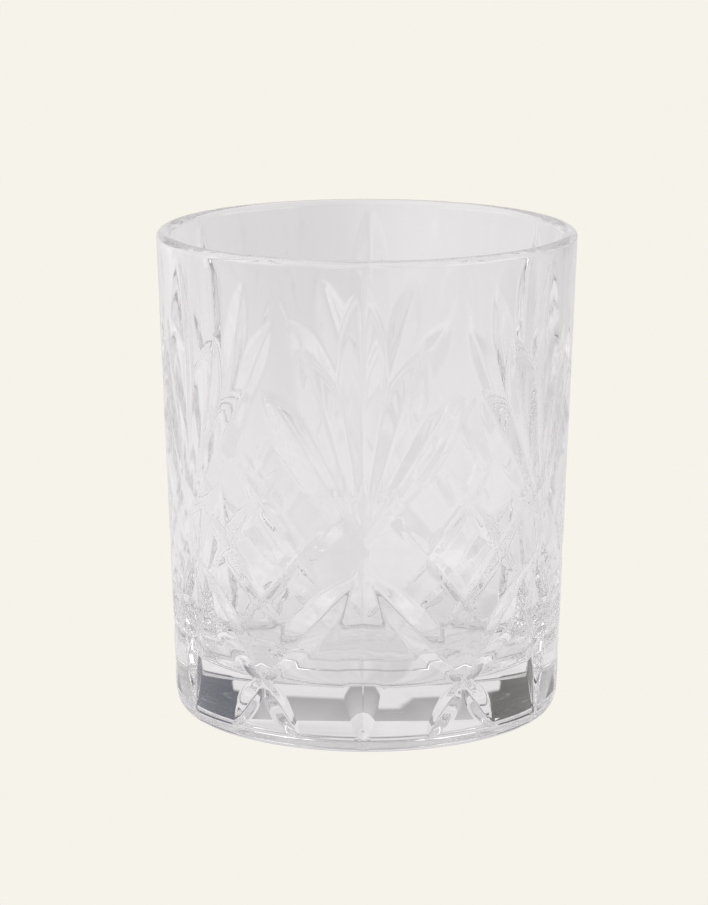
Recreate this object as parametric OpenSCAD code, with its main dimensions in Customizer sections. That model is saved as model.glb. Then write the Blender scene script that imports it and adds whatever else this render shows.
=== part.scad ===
// Cut-pattern whiskey tumbler, pressed in one piece of clear glass.
// Origin at the centre of the foot, +Z up through the mouth, millimetres.

/* [Body] */
// Overall height
height = 94; // [90:0.5:100]
// Outer diameter at the rim
rim_d = 81; // [79:0.5:84]
// Outer diameter where the slope of the wall meets the table
base_d = 75; // [74:0.5:78]
// Wall thickness under the lip
rim_wall = 2.8; // [2.6:0.1:3.2]
// Wall thickness at the bottom of the bowl
bowl_wall = 4.8; // [4.4:0.1:5.6]
// Height of the bowl's floor above the foot
base_thickness = 10; // [8:0.5:13]
// Radius of the curve between the bowl's wall and its floor
bowl_corner_r = 15; // [11:0.5:18]
// Width of the heel, measured along the foot
heel_w = 3; // [2.6:0.1:3.4]
// Height of the heel's upper edge
heel_h = 3.3; // [3:0.1:3.6]
// Height where the heel's steep flank starts to curve in
heel_flank_h = 1.6; // [1.2:0.1:2]
// How far in from the heel's upper edge the flank lies at that height
heel_flank_in = 0.4; // [0.2:0.1:0.6]
// Diameter of the hollow under the foot, inside the ring that it stands on
hollow_d = 62; // [58:1:64]
// Depth of that hollow at the top of its rounded step
hollow_depth = 2; // [1:0.1:2.5]
// Width of the rounded step
hollow_step = 2.5; // [1.5:0.1:4]
// Rise of the hollow's faint dome above the step
hollow_dome = 0.5; // [0.2:0.1:1]

/* [Cut pattern] */
// How many times the pattern repeats round the glass
repeats = 6; // [6:1:6]
// Turn of the whole pattern about the axis, in degrees
pattern_turn = -1.1; // [-5:0.1:5]
// Height of the point that the fan's leaves spread from
fan_z = 41.5; // [40:0.5:43]
// Height of the point that the lower leaves spread from
star_z = 35.5; // [34:0.5:37]
// Height where the long leaves of two neighbours meet
crossing_z = 13; // [12:0.5:14]
// Height where the cuts on the heel run out
heel_cut_z = 3; // [2.6:0.1:3.4]

/* [Leaf cuts] */
// Lean of the fan's five leaves from the vertical, in degrees
fan_leans = [-34, -17, 0, 17, 34];
// Length of those leaves
fan_lengths = [33, 38, 50, 38, 33];
// Width of a fan leaf
fan_leaf_w = 7.8; // [6:0.2:8.4]
// Depth of a fan leaf
fan_leaf_depth = 1; // [0.8:0.1:1.3]
// Width of the long leaves that reach sideways to the crossings
long_leaf_w = 7; // [6:0.2:8]
// Depth of the long leaves
long_leaf_depth = 1.3; // [1:0.1:1.6]
// Width of the leaf that runs straight down from the star
down_leaf_w = 8.4; // [7:0.2:9]
// Depth of that leaf
down_leaf_depth = 1.3; // [1:0.1:1.5]
// How far above the star that leaf starts
down_leaf_rise = 3; // [1.5:0.5:4]
// Width of the crossing grooves between the fans
groove_w = 3.2; // [2.6:0.1:3.6]
// Depth of those grooves
groove_depth = 0.5; // [0.4:0.1:0.7]
// Width of the short cuts on the heel
leg_w = 4.4; // [3.8:0.1:4.8]
// Depth of those cuts
leg_depth = 1; // [0.8:0.1:1.2]
// Width of the small nick in the heel under each fan
nick_w = 3; // [2:0.1:4]
// Depth of that nick
nick_depth = 0.6; // [0.4:0.1:0.8]

/* [Hidden] */
$fn = 144;
rim_r = rim_d / 2;
base_r = base_d / 2;
lip_r = rim_wall / 2;
// Radius of the cylinder on which sideways distances along the wall are measured
pattern_r = (rim_r + base_r) / 2;
sector_angle = 360 / repeats;
half_sector_w = pattern_r * sector_angle / 2 * PI / 180;
// Straight steps along one leaf or groove
leaf_steps = 6;
// How far a cutting wheel's outline stands clear of the wall
clear = 0.8;
// Where along their length the fan leaves, the leaf below the star and the heel cuts are widest
fan_leaf_peak = 0.62;
down_leaf_peak = 0.4;
leg_peak = 0.42;
// Each crossing groove starts and ends at a sideways distance from the middle
// between two fans and a height
grooves = [
    [[-4.8, 54.5], [11.9, 32.8]],
    [[-12.8, 44], [4.2, 24]]
];
// Sideways run of a heel cut from the crossing to its foot
leg_run = 7.4;
// Heights between which a nick's cutting wheel meets the straight line of the wall
nick_from = -1.2;
nick_to = 3.9;

function wall_r(z) = base_r + (rim_r - base_r) * z / height;
function bowl_r(z) = wall_r(z) - bowl_wall + (bowl_wall - rim_wall) * (z - base_thickness)
    / (height - base_thickness);
function hollow_z(r) =
    let (t = min((hollow_d / 2 - r) / hollow_step, 1), q = min(r / (hollow_d / 2 - hollow_step), 1))
    hollow_depth * t * t * (3 - 2 * t) + hollow_dome * (1 - q * q);
// The heel's curve, from the foot at t = 0 to the bottom of its flank at t = 1
function heel_point(t) =
    let (top = wall_r(heel_h), slope = heel_flank_in / (heel_h - heel_flank_h), s = 1 - t)
    [
        s * s * (top - heel_w) + 2 * s * t * (top - slope * heel_h) + t * t * (top - heel_flank_in),
        heel_flank_h * t * t
    ];
function arc(centre, rx, ry, from, to, steps) = [
    for (i = [0:steps])
        let (a = from + (to - from) * i / steps)
        [centre.x + rx * cos(a), centre.y + ry * sin(a)]
];

// Half of the glass in section, before any cut
module section() {
    lip_z = height - lip_r;
    corner_z = base_thickness + bowl_corner_r;
    hollow_r = hollow_d / 2;
    inner_r = hollow_r - hollow_step;
    polygon(concat(
        [for (i = [0:6]) let (r = inner_r * i / 6) [r, hollow_z(r)]],
        [for (i = [1:8]) let (r = inner_r + hollow_step * i / 8) [r, hollow_z(r)]],
        [for (i = [0:8]) heel_point(i / 8)],
        [[wall_r(heel_h), heel_h]],
        arc([rim_r - lip_r, lip_z], lip_r, lip_r, 0, 180, 12),
        arc([bowl_r(corner_z) - bowl_corner_r, corner_z],
            bowl_corner_r, bowl_corner_r, 0, -90, 15),
        [[0, base_thickness]]
    ));
}

// A point on the wall: sideways distance and height become a place in space
function on_wall(p) =
    let (a = p.x / pattern_r * 180 / PI)
    [wall_r(p.y) * sin(a), -wall_r(p.y) * cos(a), p.y];
function outward(p) =
    let (a = p.x / pattern_r * 180 / PI)
    [sin(a), -cos(a), 0];
function along(p, v) =
    let (a = p.x / pattern_r * 180 / PI)
    [v.x * cos(a), v.x * sin(a), v.y];

// One V-shaped cut with pointed ends, as a grinding wheel leaves it. It runs on the
// wall from tip a to tip b, and is deepest and widest at the fraction peak of the way.
module wheel_cut(a, b, width, depth, peak = 0.5) {
    run = b - a;
    across = [run.y, -run.x] / norm(run);
    slope = (depth - width * width / 8 / pattern_r) / (width / 2);
    reach = sqrt(1 + clear / depth);
    stations = [
        for (i = [0:leaf_steps])
            let (
                q = reach * (2 * i / leaf_steps - 1),
                t = peak + q * (q < 0 ? peak : 1 - peak)
            )
            [a + run * t, depth * (1 - q * q)]
    ];
    tip = function (s) on_wall(s[0]) + outward(s[0]) * clear;
    side = function (s, dir)
        tip(s) + along(s[0], across) * dir * (s[1] + clear) / slope;
    last = 3 * leaf_steps - 2;
    points = concat(
        [tip(stations[0])],
        [for (i = [1:leaf_steps - 1]) each [
            side(stations[i], -1),
            side(stations[i], 1),
            on_wall(stations[i][0]) - outward(stations[i][0]) * stations[i][1]
        ]],
        [tip(stations[leaf_steps])]
    );
    faces = concat(
        [for (k = [0:2]) [0, 1 + k, 1 + (k + 1) % 3]],
        [for (i = [0:leaf_steps - 3], k = [0:2])
            let (p = 1 + 3 * i + k, q = 1 + 3 * i + (k + 1) % 3)
            each [[p, p + 3, q + 3], [p, q + 3, q]]],
        [for (k = [0:2]) [last - 3 + k, last, last - 3 + (k + 1) % 3]]
    );
    polyhedron(points, faces);
}

// The five leaves that spread upward
module fan() {
    for (i = [0:len(fan_leans) - 1])
        wheel_cut(
            [0, fan_z],
            [0, fan_z] + fan_lengths[i] * [sin(fan_leans[i]), cos(fan_leans[i])],
            fan_leaf_w, fan_leaf_depth, fan_leaf_peak
        );
}

// The leaf that runs straight down, the nick under it and the long leaves to the two crossings
module star() {
    wheel_cut([0, nick_from], [0, nick_to], nick_w, nick_depth);
    wheel_cut(
        [0, star_z + down_leaf_rise], [0, heel_cut_z],
        down_leaf_w, down_leaf_depth, down_leaf_peak
    );
    for (side = [-1, 1])
        wheel_cut(
            [0, star_z], [side * half_sector_w, crossing_z],
            long_leaf_w, long_leaf_depth
        );
}

// The lattice and the heel cuts between two fans
module lattice() {
    for (side = [-1, 1]) {
        for (g = grooves)
            wheel_cut(
                [half_sector_w + side * g[0].x, g[0].y],
                [half_sector_w + side * g[1].x, g[1].y],
                groove_w, groove_depth
            );
        wheel_cut(
            [half_sector_w, crossing_z],
            [half_sector_w + side * leg_run, heel_cut_z],
            leg_w, leg_depth, leg_peak
        );
    }
}

module tumbler() {
    color([0.86, 0.91, 0.93, 0.45])
        difference() {
            rotate_extrude() section();
            for (i = [0:repeats - 1])
                rotate(pattern_turn + i * sector_angle) {
                    fan();
                    star();
                    lattice();
                }
        }
}

tumbler();
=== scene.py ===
import math

import bpy
import numpy as np
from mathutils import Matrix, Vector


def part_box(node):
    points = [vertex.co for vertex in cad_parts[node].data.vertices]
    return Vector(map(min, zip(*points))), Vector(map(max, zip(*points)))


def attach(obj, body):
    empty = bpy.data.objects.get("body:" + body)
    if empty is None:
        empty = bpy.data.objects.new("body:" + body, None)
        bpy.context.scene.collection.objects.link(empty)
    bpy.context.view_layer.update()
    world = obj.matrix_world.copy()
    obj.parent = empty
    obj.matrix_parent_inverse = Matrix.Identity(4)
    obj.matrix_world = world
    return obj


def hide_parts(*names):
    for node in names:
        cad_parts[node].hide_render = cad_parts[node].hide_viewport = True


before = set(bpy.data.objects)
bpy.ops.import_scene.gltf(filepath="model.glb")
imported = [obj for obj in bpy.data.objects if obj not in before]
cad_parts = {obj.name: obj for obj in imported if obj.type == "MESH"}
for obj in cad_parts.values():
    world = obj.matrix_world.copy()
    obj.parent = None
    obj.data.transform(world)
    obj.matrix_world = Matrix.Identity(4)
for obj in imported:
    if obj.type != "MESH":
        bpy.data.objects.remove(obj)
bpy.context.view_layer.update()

MM = 0.001

# ---------------------------------------------------------------- dimensions, in millimetres
box_low, box_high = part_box("tumbler")
HEIGHT = (box_high[2] - box_low[2]) / MM
RIM_R = (box_high[0] - box_low[0]) / MM / 2
# Width where the wall's straight line meets the table, and at the rim
BASE_D, RIM_D = 75, 81
BASE_R = RIM_R * BASE_D / RIM_D
# Wall thickness under the lip and at the bottom of the bowl
RIM_WALL = 2.8
BOWL_WALL = 4.8
LIP_R = RIM_WALL / 2
# Height of the bowl's floor above the table, and the curve between the floor and the wall
BASE_THICKNESS = 10.0
BOWL_CORNER_R = 15.0
# The heel: its width along the foot, its upper edge, and how high and how far in the foot of
# its steep flank lies
HEEL_W = 3.0
HEEL_H = 3.3
HEEL_FLANK_H = 1.6
HEEL_FLANK_IN = 0.4
# The hollow under the foot: a soft step up from the ring it stands on, then a faint dome
HOLLOW_R = 31.0
HOLLOW_DEPTH = 2.0
HOLLOW_STEP = 2.5
HOLLOW_DOME = 0.5
HOLLOW_INNER = HOLLOW_R - HOLLOW_STEP

# How often the pattern repeats, and its turn about the axis in degrees
REPEATS = 6
PATTERN_TURN = -1.1
# Radius on which sideways distances along the wall are measured
PATTERN_R = (RIM_R + BASE_R) / 2
SECTOR_ANGLE = 360 / REPEATS
# Sideways distance along the wall from the middle of a fan to the next crossing
HALF_W = PATTERN_R * math.radians(SECTOR_ANGLE / 2)
# Heights that the fan's leaves and the lower leaves spread from, where the long leaves of two
# neighbours meet, and where the cuts on the heel run out
FAN_Z = 41.5
STAR_Z = 35.5
CROSSING_Z = 13.0
HEEL_CUT_Z = 3.0

# Each kind of cut: width, depth, and how far along it is widest
FAN_LEAF = (7.8, 1.0, 0.62)
DOWN_LEAF = (8.4, 1.3, 0.4)
LONG_LEAF = (7, 1.3, 0.5)
GROOVE = (3.2, 0.5, 0.5)
HEEL_CUT = (4.4, 1.0, 0.42)
NICK = (3.0, 0.6, 0.5)
# Lean from the vertical and length of the fan's middle leaf and of the two beside it
FAN_LEAVES = [(0, 50), (17, 38), (34, 33)]
# How far above the star the leaf that runs straight down starts
DOWN_LEAF_RISE = 3
# Both tips of two crossing grooves, sideways from the crossing and in height
GROOVES = [((-4.8, 54.5), (11.9, 32.8)), ((-12.8, 44), (4.2, 24))]
# Sideways run of a heel cut, and the heights between which a nick meets the straight wall
HEEL_CUT_RUN = 7.4
NICK_FROM, NICK_TO = -1.2, 3.9

# The part of the wall that the cuts reach, and the mesh's spacing on it
CUT_LOW, CUT_HIGH = 0.5, 92.4
COLUMNS = 20
ROWS = 90
# Depth over which two cut faces melt into each other at an edge, and the same at the heel
SOFT = 0.28
HEEL_SOFT = 0.03
# Part of that depth that counts as softened where the mesh is split along soft edges
SOFT_MARGIN = 0.98
# How far a cut's curve is followed, as a multiple of the way from its widest point to its tip
CUT_REACH = 3
# Halvings that find where one face of a cut gives way to the next
HALVINGS = 16
# Rings of the mesh on the heel, the hollow's step and dome, the lip, the wall, corner and floor
HEEL_RINGS = 8
STEP_RINGS = 8
DOME_RINGS = 16
LIP_RINGS = 16
WALL_RINGS = 24
CORNER_RINGS = 32
FLOOR_RINGS = 5
# Distances over which slopes are measured on the cut wall, and on the heel and the hollow
WALL_NUDGE = 0.01
FOOT_NUDGE = 0.001
# Decimals of a millimetre within which two points are one
WELD_DECIMALS = 3


class Cut:
    """One V-shaped wheel cut from tip a to tip b, each a sideways distance and a height."""

    def __init__(self, a, b, width, depth, peak, central=False):
        self.a = np.array(a, float)
        self.run = np.array(b, float) - self.a
        self.length = np.hypot(*self.run)
        self.along = self.run / self.length
        self.across = np.array([self.along[1], -self.along[0]])
        self.depth = depth
        self.peak = peak
        self.central = central
        half = width / 2
        self.slope = (depth - (half * self.across[0]) ** 2 / (2 * PATTERN_R)) / half

    def faces(self, u, z):
        """Depth under the uncut wall of the cut's two flat faces."""
        du, dz = u - self.a[0], z - self.a[1]
        t = (du * self.along[0] + dz * self.along[1]) / self.length
        w = du * self.across[0] + dz * self.across[1]
        q = (t - self.peak) / np.where(t < self.peak, self.peak, 1 - self.peak)
        middle = self.depth * (1 - np.minimum(q * q, CUT_REACH**2))
        middle = middle - (w * self.across[0]) ** 2 / (2 * PATTERN_R)
        return middle - self.slope * w, middle + self.slope * w


def leaning(z, lean, length):
    """The far tip of a leaf that starts at height z and leans from the vertical."""
    return length * math.sin(math.radians(lean)), z + length * math.cos(math.radians(lean))


def half_pattern():
    """The cuts of half a sector. Mirror images of them make up the rest."""
    cuts = []
    for lean, length in FAN_LEAVES:
        cuts.append(Cut((0, FAN_Z), leaning(FAN_Z, lean, length), *FAN_LEAF, central=lean == 0))
    cuts.append(Cut((0, STAR_Z + DOWN_LEAF_RISE), (0, HEEL_CUT_Z), *DOWN_LEAF, central=True))
    cuts.append(Cut((0, STAR_Z), (HALF_W, CROSSING_Z), *LONG_LEAF))
    for (side, z), (far_side, far_z) in GROOVES:
        cuts.append(Cut((HALF_W + side, z), (HALF_W + far_side, far_z), *GROOVE))
    cuts.append(Cut((HALF_W, CROSSING_Z), (HALF_W - HEEL_CUT_RUN, HEEL_CUT_Z), *HEEL_CUT))
    cuts.append(Cut((0, NICK_FROM), (0, NICK_TO), *NICK, central=True))
    return cuts


CUTS = half_pattern()


def wall_r(z):
    """Radius of the wall's straight line, before any cut."""
    return BASE_R + (RIM_R - BASE_R) * z / HEIGHT


def heel_r(z):
    """Radius of the heel: a steep flank under its upper edge, then a curve in to the foot."""
    top = wall_r(HEEL_H)
    slope = HEEL_FLANK_IN / (HEEL_H - HEEL_FLANK_H)
    flank = top - slope * (HEEL_H - z)
    t = 1 - np.sqrt(np.clip(z / HEEL_FLANK_H, 0, 1))
    turn = (1 - t) ** 2 * (top - HEEL_FLANK_IN) + t**2 * (top - HEEL_W)
    turn = turn + 2 * t * (1 - t) * (top - slope * HEEL_H)
    return np.where(z < HEEL_FLANK_H, turn, flank)


def heel_removed(z):
    """How far the heel lies inside the straight line of the wall. Negative above its edge."""
    return wall_r(z) - heel_r(z)


def soft_min(a, b, k):
    """The smaller of two depths, rounded off where they are within k of each other."""
    near = np.maximum(k - np.abs(a - b), 0) / k
    return np.minimum(a, b) - near * near * k / 4


def soft_max(a, b, k):
    """The larger of two depths, rounded off in the same way."""
    return -soft_min(-a, -b, k)


def images(u, z):
    """Every cut's pair of faces at these points, mirror images included."""
    for cut in CUTS:
        yield cut.faces(u, z)
        if not cut.central:
            yield cut.faces(-u, z)
        yield cut.faces(2 * HALF_W - u, z)


def removed(u, z):
    """Depth of glass taken off the straight wall, with softened edges."""
    total = soft_max(0 * u, heel_removed(z), HEEL_SOFT)
    for left, right in images(u, z):
        total = soft_max(total, soft_min(left, right, SOFT), SOFT)
    return total


def surface_kind(p):
    """Which face of which cut is the surface at each point, as a number."""
    u, z = p[:, 0], p[:, 1]
    depths = [np.maximum(heel_removed(z), 0)]
    sides = [(z < HEEL_H).astype(int)]
    for left, right in images(u, z):
        depths.append(np.minimum(left, right))
        sides.append((left > right).astype(int))
    best = np.argmax(depths, axis=0)
    return best * 2 + np.array(sides)[best, np.arange(len(p))]


def near_edge(p):
    """True where the surface is softened because another face is close."""
    u, z = p[:, 0], p[:, 1]
    depths = [np.maximum(heel_removed(z), 0)]
    gaps = [np.abs(heel_removed(z)) * SOFT / HEEL_SOFT]
    for left, right in images(u, z):
        depths.append(np.minimum(left, right))
        gaps.append(np.abs(left - right))
    depths = np.array(depths)
    order = np.argsort(depths, axis=0)
    rows = np.arange(len(p))
    between = depths[order[-1], rows] - depths[order[-2], rows]
    across = np.array(gaps)[order[-1], rows]
    return (np.minimum(between, across) < SOFT * SOFT_MARGIN).astype(int)


def split(points, triangles, kind):
    """Cuts triangles along the lines where kind changes, so that edges of the mesh follow them."""
    label = kind(points)
    sides = np.vstack([triangles[:, [0, 1]], triangles[:, [1, 2]], triangles[:, [2, 0]]])
    pairs = np.unique(np.sort(sides, 1), axis=0)
    pairs = pairs[label[pairs[:, 0]] != label[pairs[:, 1]]]
    near, far = points[pairs[:, 0]], points[pairs[:, 1]]
    wanted = label[pairs[:, 0]]
    for _ in range(HALVINGS):
        middle = (near + far) / 2
        same = (kind(middle) == wanted)[:, None]
        near, far = np.where(same, middle, near), np.where(same, far, middle)
    crossing = {(a, b): len(points) + i for i, (a, b) in enumerate(pairs.tolist())}
    points = np.vstack([points, (near + far) / 2])
    made, centres = [], []
    for a, b, c in triangles.tolist():
        ab = crossing.get((min(a, b), max(a, b)))
        bc = crossing.get((min(b, c), max(b, c)))
        ca = crossing.get((min(c, a), max(c, a)))
        found = [m is not None for m in (ab, bc, ca)]
        if not any(found):
            made.append((a, b, c))
        elif all(found):
            g = len(points) + len(centres)
            centres.append((points[ab] + points[bc] + points[ca]) / 3)
            made += [(a, ab, g), (ab, b, g), (b, bc, g), (bc, c, g), (c, ca, g), (ca, a, g)]
        else:
            # Turned so that the two split sides are ab and ca
            if ca is None:
                a, b, c, ab, ca = b, c, a, bc, ab
            elif ab is None:
                a, b, c, ab, ca = c, a, b, ca, bc
            made += [(a, ab, ca), (ab, b, c), (ab, c, ca)]
    if centres:
        points = np.vstack([points, centres])
    return points, np.array(made)


def half_sector():
    """Points (sideways distance, height) and triangles of the wall from a fan to a crossing."""
    us = np.linspace(0, HALF_W, COLUMNS + 1)
    zs = np.linspace(CUT_LOW, CUT_HIGH, ROWS + 1)
    grid = np.array([(u, z) for z in zs for u in us])
    triangles = []
    for r in range(ROWS):
        for c in range(COLUMNS):
            a = r * (COLUMNS + 1) + c
            b, d, e = a + 1, a + COLUMNS + 1, a + COLUMNS + 2
            triangles += [(a, b, e), (a, e, d)] if (r + c) % 2 else [(a, b, d), (b, e, d)]
    points, triangles = split(grid, np.array(triangles), surface_kind)
    return split(points, triangles, near_edge)


def wall_shape(points):
    """Radius and outward normal (sideways, radial, up) at points of the cut wall."""
    u, z = points[:, 0], points[:, 1]
    radius = wall_r(z) - removed(u, z)
    left, right = removed(u - WALL_NUDGE, z), removed(u + WALL_NUDGE, z)
    under = wall_r(z - WALL_NUDGE) - removed(u, z - WALL_NUDGE)
    over = wall_r(z + WALL_NUDGE) - removed(u, z + WALL_NUDGE)
    du = (left - right) / (2 * WALL_NUDGE)
    dz = (over - under) / (2 * WALL_NUDGE)
    normal = np.stack([-du * PATTERN_R / radius, np.ones_like(u), -dz], 1)
    return radius, normal / np.linalg.norm(normal, axis=1)[:, None]


def arc(centre, rx, ry, start, end, steps):
    """Profile points (radius, height, normal's radius, normal's height) along part of an ellipse."""
    made = []
    for i in range(steps + 1):
        a = math.radians(start + (end - start) * i / steps)
        x, y = math.cos(a) / rx, math.sin(a) / ry
        n = math.hypot(x, y)
        made.append((centre[0] + rx * math.cos(a), centre[1] + ry * math.sin(a), x / n, y / n))
    return made


def bowl_r(z):
    """Radius of the inside of the wall, which gets thinner towards the rim."""
    up = (z - BASE_THICKNESS) / (HEIGHT - BASE_THICKNESS)
    return wall_r(z) - BOWL_WALL + (BOWL_WALL - RIM_WALL) * up


def flipped(profile):
    """The same profile with its normals turned round."""
    return [(r, z, -nr, -nz) for r, z, nr, nz in profile]


def hollow_z(r):
    """Height of the hollow's surface above the table at radius r."""
    t = min((HOLLOW_R - r) / HOLLOW_STEP, 1)
    dome = HOLLOW_DOME * (1 - min(r / HOLLOW_INNER, 1) ** 2)
    return HOLLOW_DEPTH * t * t * (3 - 2 * t) + dome


def foot_profile():
    """From the cut wall down round the heel, across the foot and up into the hollow under it."""
    heel = []
    for i in range(HEEL_RINGS):
        z = CUT_LOW * (1 - i / HEEL_RINGS) ** 2
        slope = (heel_r(z + FOOT_NUDGE) - heel_r(z)) / FOOT_NUDGE
        n = math.hypot(1, slope)
        heel.append((float(heel_r(z)), z, 1 / n, -slope / n))
    ring = [(float(heel_r(0)), 0, 0, -1), (HOLLOW_R, 0, 0, -1)]
    radii = [HOLLOW_R - HOLLOW_STEP * (i + 1) / STEP_RINGS for i in range(STEP_RINGS)]
    radii += [HOLLOW_INNER * (1 - (i + 1) / DOME_RINGS) for i in range(DOME_RINGS)]
    hollow = []
    for r in radii:
        slope = (hollow_z(r + FOOT_NUDGE) - hollow_z(r - FOOT_NUDGE)) / (2 * FOOT_NUDGE)
        n = math.hypot(1, slope)
        hollow.append((r, hollow_z(r), slope / n, -1 / n))
    return heel + ring + hollow


def bowl_profile():
    """From the cut wall over the lip, down the inside and in to the middle of the floor."""
    lip_z = HEIGHT - LIP_R
    corner_z = BASE_THICKNESS + BOWL_CORNER_R
    edge = [(wall_r(CUT_HIGH), CUT_HIGH, 1, 0)]
    lip = arc((RIM_R - LIP_R, lip_z), LIP_R, LIP_R, 0, 180, LIP_RINGS)
    slope = (bowl_r(HEIGHT) - bowl_r(0)) / HEIGHT
    down = math.hypot(1, slope)
    wall = []
    for i in range(1, WALL_RINGS):
        z = lip_z + (corner_z - lip_z) * i / WALL_RINGS
        wall.append((bowl_r(z), z, -1 / down, slope / down))
    centre = (bowl_r(corner_z) - BOWL_CORNER_R, corner_z)
    corner = flipped(arc(centre, BOWL_CORNER_R, BOWL_CORNER_R, 0, -90, CORNER_RINGS))
    floor_r = corner[-1][0]
    floor = [
        (floor_r * (1 - (i + 1) / FLOOR_RINGS), BASE_THICKNESS, 0, 1) for i in range(FLOOR_RINGS)
    ]
    return edge + lip + wall + corner + floor


def turned(angles, profile):
    """A surface of revolution: rings of points with normals, and its triangles."""
    count = len(angles)
    points, normals, triangles = [], [], []
    for r, z, nr, nz in profile:
        points += [(r * math.sin(a), -r * math.cos(a), z) for a in angles]
        normals += [(nr * math.sin(a), -nr * math.cos(a), nz) for a in angles]
    for i in range(len(profile) - 1):
        for j in range(count):
            a, b = i * count + j, i * count + (j + 1) % count
            triangles += [(a, b, b + count), (a, b + count, a + count)]
    return np.array(points), np.array(normals), np.array(triangles)


def cut_wall():
    """The whole cut wall: the half sector, turned and mirrored into place round the glass."""
    flat, triangles = half_sector()
    radius, normal = wall_shape(flat)
    points, normals, faces = [], [], []
    for i in range(REPEATS):
        for side in (1, -1):
            a = np.radians(PATTERN_TURN + i * SECTOR_ANGLE) + side * flat[:, 0] / PATTERN_R
            sideways = np.stack([np.cos(a), np.sin(a), 0 * a], 1)
            outward = np.stack([np.sin(a), -np.cos(a), 0 * a], 1)
            up = np.array([0, 0, 1.0])
            faces.append((triangles if side == 1 else triangles[:, ::-1]) + len(flat) * len(points))
            points.append(outward * radius[:, None] + up * flat[:, 1][:, None])
            normals.append(
                sideways * side * normal[:, 0][:, None] + outward * normal[:, 1][:, None]
                + up * normal[:, 2][:, None]
            )
    return np.vstack(points), np.vstack(normals), np.vstack(faces)


def welded(parts):
    """Joins surfaces that share their border points into one list of points and triangles."""
    points = np.vstack([p for p, _, _ in parts])
    normals = np.vstack([n for _, n, _ in parts])
    starts = np.cumsum([0] + [len(p) for p, _, _ in parts[:-1]])
    triangles = np.vstack([t + s for (_, _, t), s in zip(parts, starts)])
    rounded = np.round(points, WELD_DECIMALS)
    _, first, same = np.unique(rounded, axis=0, return_index=True, return_inverse=True)
    triangles = same.ravel()[triangles]
    a, b, c = triangles.T
    triangles = triangles[(a != b) & (b != c) & (c != a)]
    return points[first], normals[first], triangles


def glass_mesh():
    """The whole glass as one mesh with its own normals."""
    columns = REPEATS * 2 * COLUMNS
    angles = [math.radians(PATTERN_TURN + 360 * i / columns) for i in range(columns)]
    foot = turned(angles, foot_profile())
    foot = (foot[0], foot[1], foot[2][:, ::-1])
    bowl = turned(angles, bowl_profile())
    points, normals, triangles = welded([cut_wall(), foot, bowl])
    mesh = bpy.data.meshes.new("tumbler_glass")
    mesh.from_pydata((points * MM).tolist(), [], triangles.tolist())
    mesh.shade_smooth()
    unit = normals / np.linalg.norm(normals, axis=1)[:, None]
    mesh.normals_split_custom_set_from_vertices(unit.tolist())
    mesh.validate()
    return mesh


glass = bpy.data.objects.new("tumbler_glass", glass_mesh())
bpy.context.collection.objects.link(glass)


# ---------------------------------------------------------------- node helper
class Tree:
    """Small helper that adds nodes and joins them."""

    def __init__(self, owner):
        owner.use_nodes = True
        self.nodes, self.links = owner.node_tree.nodes, owner.node_tree.links

    def add(self, kind, settings=(), inputs=()):
        node = self.nodes.new(kind)
        for name, value in dict(settings).items():
            setattr(node, name, value)
        for name, value in dict(inputs).items():
            if isinstance(value, bpy.types.NodeSocket):
                self.links.new(value, node.inputs[name])
            else:
                node.inputs[name].default_value = value
        return node

    def maths(self, operation, a, b=0.0):
        return self.add("ShaderNodeMath", {"operation": operation}, {0: a, 1: b}).outputs[0]

    def opposite(self, value):
        return self.maths("SUBTRACT", 1.0, value)

    def turned_away(self, angle, middle):
        """How far an angle round the glass lies from a middle one, in degrees, 0 to 180."""
        apart = self.maths("SUBTRACT", angle, middle)
        limits = {0: apart, 1: 180.0, 2: -180.0}
        wrapped = self.add("ShaderNodeMath", {"operation": "WRAP"}, limits)
        return self.maths("ABSOLUTE", wrapped.outputs[0])

    def smooth(self, value, low, high):
        """0 below low, 1 above high, and an even S in between."""
        settings = {"interpolation_type": "SMOOTHSTEP"}
        return self.add("ShaderNodeMapRange", settings, {0: value, 1: low, 2: high}).outputs[0]

    def mix(self, factor, a, b):
        node = self.add("ShaderNodeMix", {"data_type": "RGBA"}, {0: factor, 6: a, 7: b})
        return node.outputs[2]

    def noise(self, place, scale, detail):
        shape = {"Vector": place, "Scale": scale, "Detail": detail}
        return self.add("ShaderNodeTexNoise", (), shape).outputs[0]

    def ramp(self, value, stops):
        node = self.add("ShaderNodeValToRGB", (), {0: value})
        marks = node.color_ramp.elements
        marks[0].position, marks[0].color = stops[0]
        marks[1].position, marks[1].color = stops[-1]
        for position, colour in stops[1:-1]:
            marks.new(position).color = colour
        return node.outputs[0]

    def seen(self, plain, lit):
        """One colour for the camera itself and another for everything that the glass shows."""
        path = self.add("ShaderNodeLightPath")
        return self.mix(path.outputs["Is Camera Ray"], lit, plain)


# ---------------------------------------------------------------- material
IOR = 1.54
# Streaks: the two tints they run between, their size and their detail
CLEAREST = (0.992, 0.992, 0.994)
DEEPEST = (0.978, 0.982, 0.986)
STREAK_SCALE = 14.0
STREAK_DETAIL = 2.0
# Wear: the greatest roughness it gives
WEAR = 0.006
WEAR_SCALE = 60.0
WEAR_DETAIL = 3.0
# Waves left by the mould, in metres
WAVE_HEIGHT = 0.000012
WAVE_SCALE = 90.0
WAVE_DETAIL = 1.0


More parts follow.
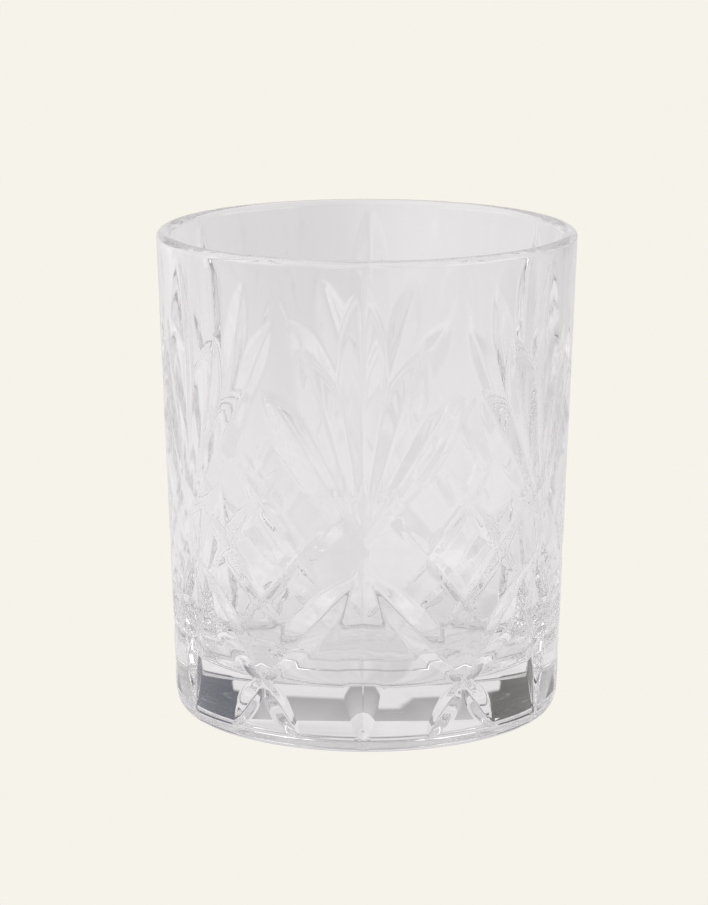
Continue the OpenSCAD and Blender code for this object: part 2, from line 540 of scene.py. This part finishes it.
def glass_material():
    """Clear pressed glass: a faint uneven tint, and the slow waviness that a mould leaves."""
    material = bpy.data.materials.new("pressed_clear_glass")
    tree = Tree(material)
    shader = tree.nodes["Principled BSDF"]
    shader.inputs["Transmission Weight"].default_value = 1
    shader.inputs["IOR"].default_value = IOR
    place = tree.add("ShaderNodeTexCoord").outputs["Object"]
    streaks = tree.noise(place, STREAK_SCALE, STREAK_DETAIL)
    tint = tree.mix(streaks, CLEAREST + (1.0,), DEEPEST + (1.0,))
    tree.links.new(tint, shader.inputs["Base Color"])
    wear = tree.noise(place, WEAR_SCALE, WEAR_DETAIL)
    worn = tree.add("ShaderNodeMapRange", (), {0: wear, 3: 0.0, 4: WEAR})
    tree.links.new(worn.outputs[0], shader.inputs["Roughness"])
    waves = tree.noise(place, WAVE_SCALE, WAVE_DETAIL)
    heights = {"Strength": 1.0, "Distance": WAVE_HEIGHT, "Height": waves}
    bump = tree.add("ShaderNodeBump", (), heights)
    tree.links.new(bump.outputs["Normal"], shader.inputs["Normal"])
    return material


glass.data.materials.append(glass_material())
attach(glass, "root")
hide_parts("tumbler")


# ---------------------------------------------------------------- studio
# The camera sees one plain pale sweep everywhere. The glass is lit by, and bends, a soft studio
# in the same place: a pale table, a graded backdrop, two dark cards and soft boxes.
SWEEP = (0.921, 0.896, 0.823)
NEUTRAL = (1.0, 0.968, 0.975)
SLATE = (0.85, 0.93, 1.15)
OLIVE = (1.0, 0.99, 0.92)

# The table's brightness near the glass, far from it and right under it: a painted pool of light that
# fades away from the glass, and a painted shadow under it
TABLE_NEAR = 0.805
TABLE_FAR = 0.755
TABLE_PAINTED_SHADOW = 0.70
# Distances from the glass's axis over which those three change, in metres
FAR_FROM, FAR_TO = 0.12, 0.45
SHADOW_FROM, SHADOW_TO = 0.030, 0.060
# Painted shading: how much darker the table gets for each metre to the right, as if lit from the
# left
PAINTED_SIDE_SHADE = 0.28
# Faint bands of light and shade that run out from the glass across the table
BAND_DEPTH = 0.05
BAND_SCALE = 5.0
BAND_DETAIL = 1.0
BAND_LOW, BAND_HIGH = 0.35, 0.65
# Half the sweep's width, and its gap under the foot, in metres
FLOOR_HALF = 8.0
FLOOR_GAP = 0.0002

# Backdrop: height above the horizon in degrees, and brightness
BACKDROP = [
    (0, 0.76), (8, 0.68), (13, 0.35), (16, 0.40), (22, 0.55), (36, 0.66), (58, 0.72), (68, 0.32),
]

# Soft boxes and dark cards, in degrees: direction round the glass (0 is straight behind it,
# positive to the right of the camera), half width, lowest and highest edge and softness of the
# edges. Then brightness and tint.
PANELS = [
    (-42, 14, 5, 25, 4, 0.10, OLIVE),
    (42, 14, 5, 25, 4, 0.11, SLATE),
    (0, 33, -20, 14.5, 0.6, 0.78, NEUTRAL),
    (180, 55, 24, 58, 8, 0.42, NEUTRAL),
    (-108, 26, 0, 22, 5, 1.9, NEUTRAL),
    (110, 27, 0, 22, 5, 2.0, NEUTRAL),
]
STRAIGHT_UP = 90


def level(value, tint=NEUTRAL):
    """A tint at a brightness, as a colour."""
    return tuple(value * c for c in tint) + (1.0,)


def studio_world():
    """Everything round the glass except the table."""
    world = bpy.data.worlds.new("studio")
    tree = Tree(world)
    direction = tree.add("ShaderNodeTexCoord").outputs["Generated"]
    x, y, z = tree.add("ShaderNodeSeparateXYZ", (), {0: direction}).outputs
    height_angle = tree.maths("DEGREES", tree.maths("ARCSINE", z))
    turn_angle = tree.maths("DEGREES", tree.maths("ARCTAN2", x, y))
    stops = [(angle / STRAIGHT_UP, level(value)) for angle, value in BACKDROP]
    light = tree.ramp(tree.maths("DIVIDE", height_angle, STRAIGHT_UP), stops)
    for middle, half, low, high, edge, glow, tint in PANELS:
        away = tree.turned_away(turn_angle, middle)
        inside = tree.opposite(tree.smooth(away, half - edge, half + edge))
        above = tree.smooth(height_angle, low - edge, low + edge)
        below = tree.opposite(tree.smooth(height_angle, high - edge, high + edge))
        mask = tree.maths("MULTIPLY", tree.maths("MULTIPLY", inside, above), below)
        light = tree.mix(mask, light, level(glow, tint))
    colour = tree.seen(SWEEP + (1.0,), light)
    tree.links.new(colour, tree.nodes["Background"].inputs["Color"])
    return world


def table_material():
    """The pale sweep that the glass stands on. It glows, so nothing casts a real shadow on it; the
    light and shade it shows the glass are painted into that glow.
    """
    material = bpy.data.materials.new("pale_sweep")
    tree = Tree(material)
    tree.nodes.clear()
    position = tree.add("ShaderNodeNewGeometry").outputs["Position"]
    length = tree.add("ShaderNodeVectorMath", {"operation": "LENGTH"}, {0: position})
    distance = length.outputs["Value"]
    x, y, z = tree.add("ShaderNodeSeparateXYZ", (), {0: position}).outputs
    # Painted bands of light and shade that run out from the glass across the table
    turn = tree.maths("ARCTAN2", x, y)
    shape = {"W": turn, "Scale": BAND_SCALE, "Detail": BAND_DETAIL}
    painted_bands = tree.add("ShaderNodeTexNoise", {"noise_dimensions": "1D"}, shape).outputs[0]
    swing = {0: painted_bands, 1: BAND_LOW, 2: BAND_HIGH, 3: -BAND_DEPTH, 4: BAND_DEPTH}
    bright = tree.add("ShaderNodeMapRange", (), swing).outputs[0]
    bright = tree.maths("ADD", bright, TABLE_NEAR)
    # Painted pool of light: the table is darker far from the glass
    far = tree.smooth(distance, FAR_FROM, FAR_TO)
    far = tree.maths("MULTIPLY", far, TABLE_NEAR - TABLE_FAR)
    # Painted shading, darker towards the right
    lean = tree.maths("MULTIPLY", x, PAINTED_SIDE_SHADE)
    # Painted shadow right under the glass
    under = tree.opposite(tree.smooth(distance, SHADOW_FROM, SHADOW_TO))
    under = tree.maths("MULTIPLY", under, TABLE_NEAR - TABLE_PAINTED_SHADOW)
    for less in (far, lean, under):
        bright = tree.maths("SUBTRACT", bright, less)
    tinted = {0: NEUTRAL, "Scale": bright}
    table = tree.add("ShaderNodeVectorMath", {"operation": "SCALE"}, tinted).outputs[0]
    glow = tree.add("ShaderNodeEmission", (), {"Color": tree.seen(SWEEP + (1.0,), table)})
    tree.add("ShaderNodeOutputMaterial", (), {"Surface": glow.outputs[0]})
    return material


bpy.context.scene.world = studio_world()

floor_mesh = bpy.data.meshes.new("floor")
corners = [(-1, -1), (1, -1), (1, 1), (-1, 1)]
corners = [(x * FLOOR_HALF, y * FLOOR_HALF, -FLOOR_GAP) for x, y in corners]
floor_mesh.from_pydata(corners, [], [(0, 1, 2, 3)])
floor = bpy.data.objects.new("floor", floor_mesh)
bpy.context.collection.objects.link(floor)
floor.data.materials.append(table_material())

# ---------------------------------------------------------------- camera
# Distance back from the glass's axis and height above the table, in metres
CAMERA_BACK = 0.6241
CAMERA_UP = 0.1894
CAMERA_DOWN = math.radians(12.612)
CAMERA_TURN = math.radians(0.227)
# Sensor size along the picture's longer side and focal length, in millimetres
SENSOR = 36
LENS = 130.32796
# Light crosses many faces of the glass before it leaves it
BOUNCES = 32

camera_data = bpy.data.cameras.new("camera")
camera_data.sensor_width = SENSOR
camera_data.lens = LENS
camera = bpy.data.objects.new("camera", camera_data)
bpy.context.collection.objects.link(camera)
camera.location = (0, -CAMERA_BACK, CAMERA_UP)
camera.rotation_euler = (math.pi / 2 - CAMERA_DOWN, 0, CAMERA_TURN)
scene = bpy.context.scene
scene.camera = camera
scene.view_settings.view_transform = "Standard"
scene.cycles.max_bounces = BOUNCES
scene.cycles.transmission_bounces = BOUNCES
scene.cycles.glossy_bounces = BOUNCES
